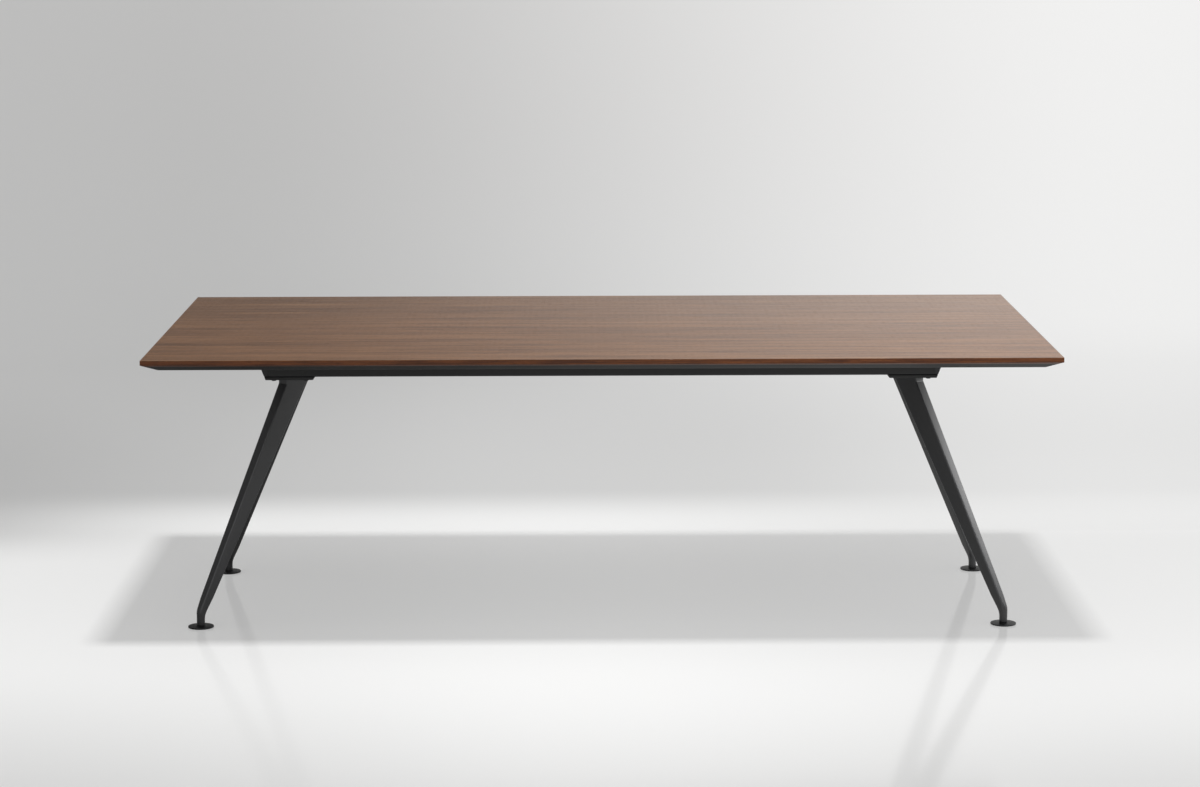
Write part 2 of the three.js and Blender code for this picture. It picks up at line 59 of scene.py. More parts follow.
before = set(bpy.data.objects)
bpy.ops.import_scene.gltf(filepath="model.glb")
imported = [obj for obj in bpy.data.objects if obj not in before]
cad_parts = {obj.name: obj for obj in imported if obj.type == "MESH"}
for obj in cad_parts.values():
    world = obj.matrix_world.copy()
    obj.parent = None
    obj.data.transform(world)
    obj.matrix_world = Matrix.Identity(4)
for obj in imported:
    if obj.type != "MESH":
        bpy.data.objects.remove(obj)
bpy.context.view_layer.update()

SIDES = {"front": -1, "back": 1}
ENDS = {"left": -1, "right": 1}
CORNERS = {f"{side}_{end}": (ENDS[end], SIDES[side]) for end in ENDS for side in SIDES}
BEARERS = ("left", "middle", "right")

# Points nearer than this, in metres, become one when a mesh is closed.
MERGE_DISTANCE = 2e-6
# A small chamfer at a hole's mouth or a spigot's root, in metres.
EASE = 0.0004
# The head's diameter and height, the shank's diameter, the head's rounding and the key's width, in metres.
BOLT_SIZES = (0.014, 0.0045, 0.008, 0.0028, 0.005)
SCREW_SIZES = (0.010, 0.003, 0.005, 0.0022, 0.003)

# The camera as fitted to the photograph: pixels, metres, and degrees of pitch, yaw and roll.
PHOTO_WIDTH = 1200
FOCAL_PIXELS = 3134.77
CAMERA_PLACE = (-0.048297, -8.305234, 1.927207)
CAMERA_TURNS = (9.34736, 0.313942, -0.155664)
SENSOR_WIDTH = 36

# The stage, in metres: how far its sheets reach, and where the wall starts, bends and stops.
STAGE_REACH = 60
WALL_START = 0.85
WALL_BEND = 0.45
WALL_HEIGHTS = (3.0, 7.0)
WALL_LIFT = 0.0004

# Each lamp's place, aim and sides, in metres, and its power in watts.
LAMPS = {
    "shadow_lamp": ((0.1, -1.4, 6.95), (0, 0, 0.7), (0.7, 0.7), 240),
    "overhead_lamp": ((0.1, -1.4, 6.95), (0, 0, 0.7), (0.7, 0.7), 200),
    "right_lamp": ((3.6, -2.4, 2.8), (0.4, 0, 0.5), (2.0, 2.0), 190),
    "rim_lamp": ((2.0, 0.05, 0.75), (0.95, -0.22, 0.35), (0.4, 0.4), 4.8),
    "front_lamp": ((-2.0, -9.0, 4.5), (0, 0, 0.5), (6.0, 4.0), 130),
}
# Lamps that don't show in the top's sheen.
UNMIRRORED_LAMPS = ("shadow_lamp", "right_lamp")


def linear(red, green, blue):
    """A colour in display values from 0 to 255, as the linear values that Blender's sockets take."""
    share = np.array([red, green, blue]) / 255
    return tuple(np.where(share < 0.04045, share / 12.92, ((share + 0.055) / 1.055) ** 2.4))


def length(label, description, millimetres):
    """A length that a user may change, given here in millimetres."""
    metres = millimetres / 1000
    return FloatProperty(
        name=label, description=description, default=metres, min=0, unit="LENGTH", subtype="DISTANCE"
    )


def tint(label, description, *display):
    """A colour that a user may change, given here in 0 to 255 display values."""
    return FloatVectorProperty(
        name=label, description=description, default=linear(*display), min=0, max=1, size=3, subtype="COLOR"
    )


class TopSettings(bpy.types.PropertyGroup):
    """Sizes and colours of the walnut panel."""

    veneer_arris: length("Veneer arris", "Rounding of the face's upper edge", 0.5)
    lipping_width: length("Lipping width", "Reach of the solid edge from the outline", 10)
    edge_height: length("Edge height", "Height of the upright edge, veneer included", 12)
    panel_thickness: length("Panel thickness", "Height of the whole top", 30)
    bevel_run: length("Bevel run", "Reach of the bevel from the outline", 40)
    lipping_arris: length("Lipping arris", "Rounding between upright edge and bevel", 0.8)
    leaf_width: length("Leaf width", "Width of one leaf of veneer", 200)
    plank_width: length("Plank width", "Width of one tone in the solid edge", 500)
    walnut_dark: tint("Dark walnut", "Late wood of the veneer", 87, 59, 38)
    walnut_mid: tint("Walnut", "Main tone of the veneer", 116, 82, 55)
    walnut_light: tint("Light walnut", "Early wood of the veneer", 143, 106, 75)
    lipping_dark: tint("Dark lipping", "Late wood of the solid edge", 60, 30, 12)
    lipping_mid: tint("Lipping", "Main tone of the solid edge", 86, 47, 21)
    lipping_light: tint("Light lipping", "Early wood of the solid edge", 101, 58, 30)
    board: tint("Board", "Stained board on the bevel", 29, 28, 27)
    backer: tint("Backer", "Laminate under the top", 34, 34, 35)


class FrameSettings(bpy.types.PropertyGroup):
    """Sizes and colours of the rails, bearers, plates and legs."""

    rail_wall: length("Rail wall", "Wall of the box rails", 2.5)
    rail_corner: length("Rail corner", "Outer corner radius of the box rails", 5)
    cap_toe: length("Cap toe", "Reach of a nose cap's lower edge", 8.5)
    cap_spigot: length("Cap spigot", "Reach of a nose cap into its rail", 5)
    cap_edge: length("Cap edge", "Rounding of a nose cap's face", 1.4)
    bearer_wall: length("Bearer wall", "Sheet thickness of the channel bearers", 3)
    bearer_fold: length("Bearer fold", "Outer radius of the channels' folds", 4)
    bearer_tip: length("Bearer tip", "Depth of a bearer at its tips", 10)
    bearer_level: length("Bearer level", "Length of a bearer's full depth", 400)
    plate_edge: length("Plate edge", "Rounding of the end plates' edges", 0.7)
    plate_chamfer: length("Plate chamfer", "Run of a plate's inner chamfer", 6)
    leg_reach: length("Leg reach", "From a foot to its leg's top, in plan", 328)
    leg_top_length: length("Leg top length", "Leg's top section, along its lean", 78)
    leg_top_width: length("Leg top width", "Leg's top section, across its lean", 33)
    leg_neck: length("Leg neck", "Upright part of the leg's outer edge", 12)
    leg_corner: length("Leg corner", "Corner radius of the leg's section", 4)
    post_diameter: length("Post diameter", "Round post at the leg's bottom", 21)
    outer_knee: length("Outer knee", "Height of the bend in a leg's outer edge", 42.5)
    inner_knee: length("Inner knee", "Height of the bend in a leg's inner edge", 33)
    knee_blend: length("Knee blend", "Height over which the round post turns square", 42)
    powder: tint("Powder coat", "Coat of the rails, bearers and plates", 29, 29, 28)
    casting: tint("Casting", "Coat of the legs and nose caps", 41, 41, 42)
    worn_edge: tint("Worn edge", "Coat on polished edges", 66, 67, 69)


class FootSettings(bpy.types.PropertyGroup):
    """Sizes and colours of the feet, and colours of the fasteners."""

    disc_rim: length("Disc rim", "Upright height of a disc's rim", 3.6)
    disc_flat: length("Disc flat", "Diameter of a disc's level middle", 26)
    disc_rounding: length("Disc rounding", "Rounding of a disc's upper edge", 1.2)
    sole_diameter: length("Sole diameter", "Soft sole under a disc", 60)
    socket_gap: length("Socket gap", "Clearance round a stem", 0.3)
    stem_diameter: length("Stem diameter", "Outer diameter of the stem's thread", 10)
    thread_pitch: length("Thread pitch", "Rise of the stem's thread in one turn", 1.5)
    thread_depth: length("Thread depth", "Depth of the stem's thread", 0.85)
    hex_width: length("Hexagon width", "Across the flats of the stem's hexagon", 11)
    hex_height: length("Hexagon height", "Height of the stem's hexagon", 6)
    disc: tint("Disc", "Coat of the foot discs", 15, 15, 16)
    sole: tint("Sole", "Soft sole", 52, 51, 50)
    zinc: tint("Zinc", "Plated stems, screws and bars", 176, 180, 184)
    black_bolt: tint("Black bolt", "Blackened bolts", 46, 46, 48)


class Socket:
    """One output of a node tree. Arithmetic on it adds Math nodes, and node() adds any other kind."""

    def __init__(self, tree, link=None):
        self.tree = tree
        self.link = link

    def node(self, kind, sockets=None, out=0, **settings):
        """Adds a shader node: its settings are set first, then its sockets get values or links."""
        made = self.tree.nodes.new(f"ShaderNode{kind}")
        for name, value in settings.items():
            setattr(made, name, value)
        for name, value in (sockets or {}).items():
            if isinstance(value, Socket):
                self.tree.links.new(value.link, made.inputs[name])
            else:
                made.inputs[name].default_value = value
        return Socket(self.tree, made.outputs[out] if made.outputs else None)

    def output(self, name):
        """Another output of the same node."""
        return Socket(self.tree, self.link.node.outputs[name])

    def math(self, operation, *values):
        """A Math node on the given values, or on this one alone."""
        return self.node("Math", dict(enumerate(values or (self,))), operation=operation)

    def __add__(self, other):
        return self.math("ADD", self, other)

    def __sub__(self, other):
        return self.math("SUBTRACT", self, other)

    def __rsub__(self, other):
        return self.math("SUBTRACT", other, self)

    def __mul__(self, other):
        return self.math("MULTIPLY", self, other)

    __radd__ = __add__
    __rmul__ = __mul__

    def step(self, low, high, to_low=0.0, to_high=1.0):
        """A smooth step: to_low up to the low end of the value, to_high from its high end on."""
        ends = {"Value": self, "From Min": low, "From Max": high, "To Min": to_low, "To Max": to_high}
        return self.node("MapRange", ends, interpolation_type="SMOOTHSTEP")

    def blend(self, first, second):
        """The first colour where this value is 0 and the second where it is 1."""
        return self.node("Mix", {0: self, 6: first, 7: second}, out=2, data_type="RGBA")


class Coat:
    """A new material with the object's coordinates at hand."""

    def __init__(self, name):
        self.material = bpy.data.materials.new(name)
        self.material.use_nodes = True
        self.material.node_tree.nodes.clear()
        self.node = Socket(self.material.node_tree).node
        self.place = self.node("TexCoord", out="Object")

    def parts(self, turn=0.0):
        """The X, Y and Z of a point, turned about Z first."""
        turned_place = self.node("Mapping", {"Vector": self.place, "Rotation": (0, 0, turn)})
        split = self.node("SeparateXYZ", {"Vector": turned_place})
        return [split.output(axis) for axis in "XYZ"]

    def noise(self, scale, detail=2.0, roughness=0.5, vector=None):
        """A noise, about 0.5 on average, with features of 1 / scale metres, or of a vector of its own."""
        sockets = {"Vector": vector or self.place, "Scale": scale, "Detail": detail, "Roughness": roughness}
        return self.node("TexNoise", sockets)

    def stretched_noise(self, x, y, z, detail=2.0, roughness=0.5):
        """A noise of three coordinates, each scaled already."""
        return self.noise(1.0, detail, roughness, self.node("CombineXYZ", {0: x, 1: y, 2: z}))

    def attribute(self, name):
        """A piece's own value, such as how near a point is to an edge."""
        return self.node("Attribute", out="Fac", attribute_name=name)

    def end(self, colour, roughness, relief, depth, **constants):
        """Ends the material: colour, roughness and relief vary, the rest are the shader's own constants."""
        bump = self.node("Bump", {"Strength": 1.0, "Distance": depth, "Height": relief})
        sockets = {"Base Color": colour, "Roughness": roughness, "Normal": bump, **constants}
        shader = self.node("BsdfPrincipled", sockets)
        self.node("OutputMaterial", {"Surface": shader})
        return self.material


def toned(colour, factor=1.0):
    """A colour made lighter or darker by a factor, as the four values of a colour socket."""
    return (*(min(value * factor, 1.0) for value in colour), 1.0)


def walnut(name, shades, leaf_width, turn=0.0, figure=1.0, gloss=0.34, index=1.4):
    """Oiled walnut with grain along X: streaks, flecks, fine lines, dark pores and a tone for each leaf."""
    dark, mid, light = shades
    coat = Coat(name)
    x, y, z = coat.parts(turn)
    across = y + coat.stretched_noise(x * 0.8, y * 2.5, z * 2.5, 1.0) * 0.05

    def grain(along, wide, detail, roughness=0.5):
        """A noise with so many features in a metre along the grain and across it."""
        return coat.stretched_noise(x * along, across * wide, z * wide, detail, roughness)

    streak = grain(1.7 * figure, 44 * figure, 5.0, 0.62).step(0.32, 0.68)
    fleck = grain(10, 95, 3.0, 0.6).step(0.30, 0.72)
    line = grain(4.5, 520, 4.0, 0.66).step(0.34, 0.66)
    pore = grain(60, 1800, 1.0).step(0.57, 0.67)
    leaf = (across * (1 / leaf_width)).math("FLOOR")
    tone = coat.node("TexWhiteNoise", {"W": leaf}, noise_dimensions="1D")
    depth = streak * 0.42 + fleck * 0.18 + line * 0.27 + tone * 0.13
    colour = depth.step(0.18, 0.56).blend(toned(dark), toned(mid))
    colour = depth.step(0.50, 0.92).blend(colour, toned(light))
    colour = (pore * 0.62).blend(colour, toned(dark, 0.55))
    roughness = gloss + line * 0.06 + pore * 0.16
    return coat.end(colour, roughness, line * 0.35 - pore, 0.00006, IOR=index)


def black_coat(name, colour, worn, grain, gloss, peel, index=1.4):
    """Black coat with a fine peel of about 1 / grain metres, cloudy gloss and paler, polished edges."""
    coat = Coat(name)
    relief = coat.noise(grain, 2.0, 0.55)
    speck = coat.noise(grain * 2.6, 1.0)
    cloud = coat.noise(7.0, 3.0)
    edge = coat.attribute("edge") * cloud.step(0.35, 0.7, 0.35, 1.0)
    shade = speck.step(0.3, 0.75).blend(toned(colour, 0.82), toned(colour, 1.16))
    roughness = gloss + cloud * 0.10 - edge * 0.12 + speck * 0.05
    return coat.end((edge * 0.5).blend(shade, toned(worn)), roughness, relief, peel, IOR=index)


def metal_coat(name, colour, grain, gloss, metallic):
    """Plated or blackened steel: faint mottling and a fine grain."""
    coat = Coat(name)
    mottle = coat.noise(grain, 3.0, 0.6)
    fine = coat.noise(grain * 9, 1.0)
    shade = mottle.step(0.3, 0.7).blend(toned(colour, 0.78), toned(colour, 1.1))
    roughness = gloss + mottle * 0.18 + fine * 0.06
    return coat.end(shade, roughness, fine, 0.000012, Metallic=metallic)


def stained_board(name, colour):
    """Stained fine board: short pale fibres in a dark stain, with a soft sheen."""
    coat = Coat(name)
    x, y, z = coat.parts()
    fibre = coat.stretched_noise(x * 420, y * 420, z * 900, 3.0, 0.6)
    depth = fibre * 0.6 + coat.noise(9.0, 4.0) * 0.4
    shade = depth.step(0.35, 0.68).blend(toned(colour, 0.78), toned(colour, 1.25))
    return coat.end(shade, 0.52 + fibre * 0.14, fibre, 0.00003, IOR=1.3)


def pebbled_laminate(name, colour):
    """Balancing laminate: a fine pebble grain and faint cloudy sheen."""
    coat = Coat(name)
    pebble = coat.noise(1100, 2.0, 0.6)
    shade = pebble.step(0.3, 0.7).blend(toned(colour, 0.85), toned(colour, 1.15))
    return coat.end(shade, 0.5 + coat.noise(5.0, 3.0) * 0.12, pebble, 0.00004, IOR=1.48)


def turned_coat(name, colour, worn):
    """Black coat over a turned disc: faint rings a third of a millimetre apart and a polished rim."""
    coat = Coat(name)
    ring = (coat.attribute("reach") * (math.tau / 0.00035)).math("SINE")
    cloud = coat.noise(60.0, 3.0)
    speck = coat.noise(2200.0, 1.0)
    edge = coat.attribute("edge") * cloud.step(0.3, 0.7, 0.3, 1.0)
    shade = speck.step(0.3, 0.75).blend(toned(colour, 0.82), toned(colour, 1.18))
    roughness = 0.40 + cloud * 0.14 - edge * 0.1
    return coat.end((edge * 0.5).blend(shade, toned(worn)), roughness, ring * 0.3 + speck, 0.000012, IOR=1.3)


def soft_sole(name, colour):
    """Soft sole: matt, with a fine pitted grain and paler dust in the pits."""
    coat = Coat(name)
    pit = coat.noise(1600.0, 3.0, 0.65)
    dust = coat.noise(90.0, 3.0)
    shade = (pit * dust).step(0.2, 0.42).blend(toned(colour), toned(colour, 1.9))
    return coat.end(shade, 0.78 + pit * 0.15, pit, 0.00008, IOR=1.45)


def points(x, y, z):
    """Three arrays of coordinates, stretched to one shape and joined as points."""
    return np.stack(np.broadcast_arrays(x, y, z), axis=-1)


def column(*blocks):
    """Numbers and lists of numbers, as one column with a line for each station."""
    return np.r_[blocks][:, None].astype(float)


def filled(count):
    """A column of ones with 0 at both ends, where a ring closes to a point."""
    return column(0, np.ones(count - 2), 0)


def placed(name, data):
    """A new object in the scene, at the origin."""
    made = bpy.data.objects.new(name, data)
    bpy.context.scene.collection.objects.link(made)
    return made


def lofted(name, rings, values=None, closed_path=False, crease=32.0):
    """A closed mesh on a grid of points, rings by places round a ring. Each ring closes on itself, and
    neighbouring rings are joined. A first or last ring whose points fall together closes that end, and with
    closed_path the last ring is joined to the first. values holds one number for each point and name."""
    rows, count = rings.shape[:2]
    index = np.arange(rows * count).reshape(rows, count)
    if closed_path:
        index = np.vstack([index, index[:1]])
    near, far = index[:-1], index[1:]
    quads = np.stack([near, np.roll(near, -1, 1), np.roll(far, -1, 1), far], axis=-1).reshape(-1, 4)
    mesh = bpy.data.meshes.new(name)
    mesh.from_pydata(rings.reshape(-1, 3).tolist(), [], quads.tolist())
    for label, numbers in (values or {}).items():
        layer = mesh.attributes.new(label, "FLOAT", "POINT")
        layer.data.foreach_set("value", np.broadcast_to(numbers, (rows, count)).astype(np.float32).ravel())
    work = bmesh.new()
    work.from_mesh(mesh)
    bmesh.ops.remove_doubles(work, verts=work.verts, dist=MERGE_DISTANCE)
    bmesh.ops.dissolve_degenerate(work, edges=work.edges, dist=1e-7)
    bmesh.ops.recalc_face_normals(work, faces=work.faces)
    if not all(edge.is_manifold for edge in work.edges):
        raise RuntimeError(f"{name} is not a closed surface")
    work.to_mesh(mesh)
    work.free()
    mesh.shade_smooth()
    mesh.set_sharp_from_angle(angle=math.radians(crease))
    return placed(name, mesh)


def fit(piece, material, node, body="table"):
    """Gives a new piece its material and its body, and hides the CAD node it replaces."""
    piece.data.materials.append(material)
    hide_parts(node)
    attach(piece, body)


def dress(material, *nodes):
    """Puts a material on CAD nodes that stay in sight as they are."""
    for node in nodes:
        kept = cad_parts[node].data
        kept.materials.clear()
        kept.materials.append(material)


def round_angles(count):
    """Angles round a full turn, half a step off the axes."""
    return (np.arange(count) + 0.5) * math.tau / count


def rounded_section(angles, half_width, half_height, radius):
    """A rounded rectangle: at each angle, the corner's centre in that quarter plus the radius in that
    direction. The last of the three arrays says how near the middle of a corner the point is, from 0 to 1."""
    across, along = np.cos(angles), np.sin(angles)
    first = np.sign(across) * (half_width - radius) + radius * across
    second = np.sign(along) * (half_height - radius) + radius * along
    return first, second, np.sin(2 * angles) ** 2


def hexagon(angles, half_width):
    """A hexagon's reach at each angle: half its width over the cosine of the angle from the nearest flat."""
    return half_width / np.cos(np.mod(angles + math.pi / 6, math.pi / 3) - math.pi / 6)


def quarter_round(radius, steps):
    """Insets and drops along a rounded edge: a quarter circle from (radius, 0) to (0, radius)."""
    angles = np.linspace(0, math.pi / 2, steps)
    return radius * (1 - np.sin(angles)), radius * (1 - np.cos(angles))


def rounded_max(first, second, distance):
    """The larger of two values, rounded off by a parabola where they differ by less than a distance."""
    near = np.maximum(distance - np.abs(first - second), 0)
    return np.maximum(first, second) + near * near / (4 * distance)


def middle_and_half(node):
    """The middle of a CAD node's box, and half of the box's size."""
    low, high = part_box(node)
    return (low + high) / 2, (high - low) / 2


def near_and_far(node):
    """How far a CAD node's box starts and stops from the table's middle, along X."""
    low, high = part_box(node)
    return sorted((abs(low.x), abs(high.x)))


def turned(name, node, radii, heights, angles, values=None, crease=32.0):
    """A turned piece: each station's radius, which may change with the angle, carried round the upright axis
    of a CAD node."""
    axis = middle_and_half(node)[0]
    rings = points(axis.x + radii * np.cos(angles), axis.y + radii * np.sin(angles), heights)
    return lofted(name, rings, values, crease=crease)


class TABLE_OT_face(bpy.types.Operator):
    """Walnut face: a thin slab over the whole top, drawn in along a quarter circle at its upper edge."""

    bl_idname = "table.face"
    bl_label = "Walnut Face"

    def execute(self, context):
        top = context.scene.table_top
        low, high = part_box("top_veneer")
        inset, drop = quarter_round(top.veneer_arris, 5)
        insets = column(0, inset, 0, 0)
        heights = column(high.z, high.z - drop, low.z, low.z)
        fill = filled(len(heights))
        x, y, _ = rounded_section(round_angles(4), high.x - insets, high.y - insets, 0)
        piece = lofted("veneer_face", points(x * fill, y * fill, heights))
        shades = (top.walnut_dark, top.walnut_mid, top.walnut_light)
        fit(piece, walnut("walnut_face", shades, top.leaf_width), "top_veneer")
        return {"FINISHED"}


class TABLE_OT_lippings(bpy.types.Operator):
    """Edge lippings: one section carried along each edge and cut at both ends by the section's own inset. It
    runs down the upright edge, round the arris, along the bevel and back up its inner side."""

    bl_idname = "table.lippings"
    bl_label = "Edge Lippings"

    # The share of the arris's radius that it takes off the upright edge.
    arris_share = 0.62

    def execute(self, context):
        top = context.scene.table_top
        low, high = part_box("top_veneer")
        slope = (top.panel_thickness - top.edge_height) / top.bevel_run
        arris, width, veneer = top.lipping_arris, top.lipping_width, high.z - low.z
        sweep = np.linspace(0, math.pi / 2 - math.atan(slope), 5)
        corner = top.edge_height + arris * (np.sin(sweep) - self.arris_share)
        inset = column(0, arris * (1 - np.cos(sweep)), width, width).T
        drop = column(veneer, corner, top.edge_height + slope * width, veneer).T
        shades = (top.lipping_dark, top.lipping_mid, top.lipping_light)
        inset, drop = (part.mean() + filled(4) * (part - part.mean()) for part in (inset, drop))
        for turn, edge in enumerate(("front", "right", "back", "left")):
            half_length, half_depth = (high.y, high.x) if turn % 2 else (high.x, high.y)
            along = column(-1, -1, 1, 1) * (half_length - inset)
            across = inset - half_depth
            cosine, sine = [(1, 0), (0, 1), (-1, 0), (0, -1)][turn]
            rings = points(along * cosine - across * sine, along * sine + across * cosine, high.z - drop)
            quarter = turn % 2 * math.pi / 2
            wood = walnut(
                f"walnut_edge_{edge}", shades, top.plank_width, quarter, figure=3.5, gloss=0.44, index=1.36
            )
            fit(lofted(f"edge_lipping_{edge}", rings), wood, f"lipping_{edge}")
        return {"FINISHED"}


class TABLE_OT_board(bpy.types.Operator):
    """Board and backer: finishes for the core and the laminate under it, which keep their CAD shape."""

    bl_idname = "table.board"
    bl_label = "Board and Backer"

    def execute(self, context):
        top = context.scene.table_top
        dress(stained_board("stained_board", top.board), "top_core")
        dress(pebbled_laminate("pebbled_laminate", top.backer), "top_backer")
        return {"FINISHED"}


class TABLE_OT_rails(bpy.types.Operator):
    """Box rails: a rounded section carried out along X and back along the inside of the wall."""

    bl_idname = "table.rails"
    bl_label = "Box Rails"

    def execute(self, context):
        sizes = context.scene.table_frame
        coat = black_coat("rail_powder_coat", sizes.powder, sizes.worn_edge, 900.0, 0.36, 0.00003)
        angles = round_angles(48)
        depth = column(np.zeros(9), np.full(9, sizes.rail_wall))
        for side in SIDES:
            centre, half = middle_and_half(f"rail_{side}")
            stations = centre.x + half.x * np.linspace(-1, 1, 9)
            y, z, near = rounded_section(angles, half.y - depth, half.z - depth, sizes.rail_corner - depth)
            rings = points(column(stations, stations[::-1]), centre.y + y, centre.z + z)
            piece = lofted(f"box_rail_{side}", rings, {"edge": near * (depth == 0)}, closed_path=True)
            fit(piece, coat, f"rail_{side}")
        return {"FINISHED"}


class TABLE_OT_caps(bpy.types.Operator):
    """Nose caps: a spigot, a step out to the rail's section and a raked face with a rounded edge."""

    bl_idname = "table.caps"
    bl_label = "Nose Caps"

    # The clearance round the spigot and the radius of its corners, in metres.
    clearance = 0.0003
    spigot_corner = 0.002

    def execute(self, context):
        sizes = context.scene.table_frame
        coat = black_coat("cap_coat", sizes.casting, sizes.worn_edge, 1100.0, 0.34, 0.000025)
        angles = round_angles(48)
        inset, drop = quarter_round(sizes.cap_edge, 6)
        gap = sizes.rail_wall + self.clearance
        cut = column(gap, gap, gap, EASE, 0, 0, drop, sizes.cap_edge)
        back = column(np.zeros(5), sizes.cap_edge, inset, 0)
        radius = np.maximum(sizes.rail_corner - cut, self.spigot_corner)
        fill = filled(len(cut))
        face_edge = column(np.zeros(6), np.sin(np.linspace(0, math.pi, len(inset))), 0)
        for corner, (end, _) in CORNERS.items():
            node = f"rail_cap_{corner}"
            centre, half = middle_and_half(node)
            inner_x, crest = near_and_far(node)
            root = inner_x + sizes.cap_spigot
            rake = (crest - root - sizes.cap_toe) / (2 * half.z)
            y, z, near = rounded_section(angles, half.y - cut, half.z - cut, radius)
            y, z = y * fill, z * fill
            x = root + sizes.cap_toe + (z + half.z) * rake - back
            x[:5] = column(inner_x, inner_x, root, root, root + EASE)
            values = {"edge": np.maximum(face_edge, near * fill * 0.6)}
            piece = lofted(f"nose_cap_{corner}", points(end * x, centre.y + y, centre.z + z), values)
            fit(piece, coat, node)
        return {"FINISHED"}


class TABLE_OT_bearers(bpy.types.Operator):
    """Channel bearers: a folded strip carried along Y, outside out and inside back, shallower at its tips."""

    bl_idname = "table.bearers"
    bl_label = "Channel Bearers"

    # From a bearer's tips to its last sections but one, in metres.
    tip_section = 0.0005

    def execute(self, context):
        sizes = context.scene.table_frame
        coat = black_coat("bearer_powder_coat", sizes.powder, sizes.worn_edge, 900.0, 0.38, 0.00003)
        arc = np.linspace(0, math.pi / 2, 7)
        fold, level = sizes.bearer_fold, sizes.bearer_level / 2
        for place in BEARERS:
            node = f"bearer_{place}"
            low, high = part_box(node)
            centre, half = middle_and_half(node)
            tips = (high.y - self.tip_section, high.y)
            stops = column(low.y, low.y + self.tip_section, -level, 0, level, tips)
            fall = np.clip((np.abs(stops) - level) / (high.y - level), 0, 1)
            depth = 2 * half.z - (2 * half.z - sizes.bearer_tip) * fall
            skins = []
            for wall in (0, sizes.bearer_wall):
                radius = fold - wall
                x = np.r_[[half.x - wall] * 3, half.x - fold + radius * np.cos(arc)]
                rise = np.r_[[fold] * 3, fold - radius * np.sin(arc)]
                share = np.r_[1, 1, 0.5, np.zeros(len(arc))]
                drop = np.r_[rise, rise[::-1]] + np.r_[share, share[::-1]] * (depth - fold)
                skins.append(points(centre.x + np.r_[x, -x[::-1]], stops, high.z - drop))
            outer, inner = skins
            rims = [0, -1]
            outer[:, rims] = inner[:, rims] = (outer[:, rims] + inner[:, rims]) / 2
            rings = np.swapaxes(np.concatenate([outer, inner[::-1]]), 0, 1)
            near = np.zeros((len(rings), 1))
            near[[1, -2]] = 0.5
            piece = lofted(f"channel_bearer_{place}", rings, {"edge": near})
            fit(piece, coat, node)
        return {"FINISHED"}


class TABLE_OT_plates(bpy.types.Operator):
    """End plates: level sections from bottom to top, with a raked outer end and a chamfered inner end."""

    bl_idname = "table.plates"
    bl_label = "End Plates"

    # The radius of the corners in plan, in metres, and the lean of the outer end.
    corner = 0.002
    rake = math.radians(21)

    def execute(self, context):
        sizes = context.scene.table_frame
        coat = black_coat("plate_powder_coat", sizes.powder, sizes.worn_edge, 900.0, 0.36, 0.00003)
        angles = round_angles(32)
        edge = sizes.plate_edge
        inset, drop = quarter_round(edge, 5)
        shrink = column(edge, inset, inset[::-1], edge)
        fill = filled(len(shrink))
        for end, sign in ENDS.items():
            node = f"end_plate_{end}"
            low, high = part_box(node)
            height = high.z - low.z
            rise = column(0, drop, height - drop[::-1], height)
            inner_top, outer_top = near_and_far(node)
            below = 1 - rise / height
            outer = outer_top - height * math.tan(self.rake) * below - shrink
            inner = inner_top + sizes.plate_chamfer * below + shrink
            x, y, near = rounded_section(angles, (outer - inner) / 2, high.y - shrink, self.corner)
            x = sign * (x * fill + (outer + inner) / 2)
            values = {"edge": np.maximum(np.sin(shrink / edge * math.pi), near * 0.5 * fill)}
            piece = lofted(f"chamfered_plate_{end}", points(x, y * fill, low.z + rise), values)
            fit(piece, coat, node)
        return {"FINISHED"}


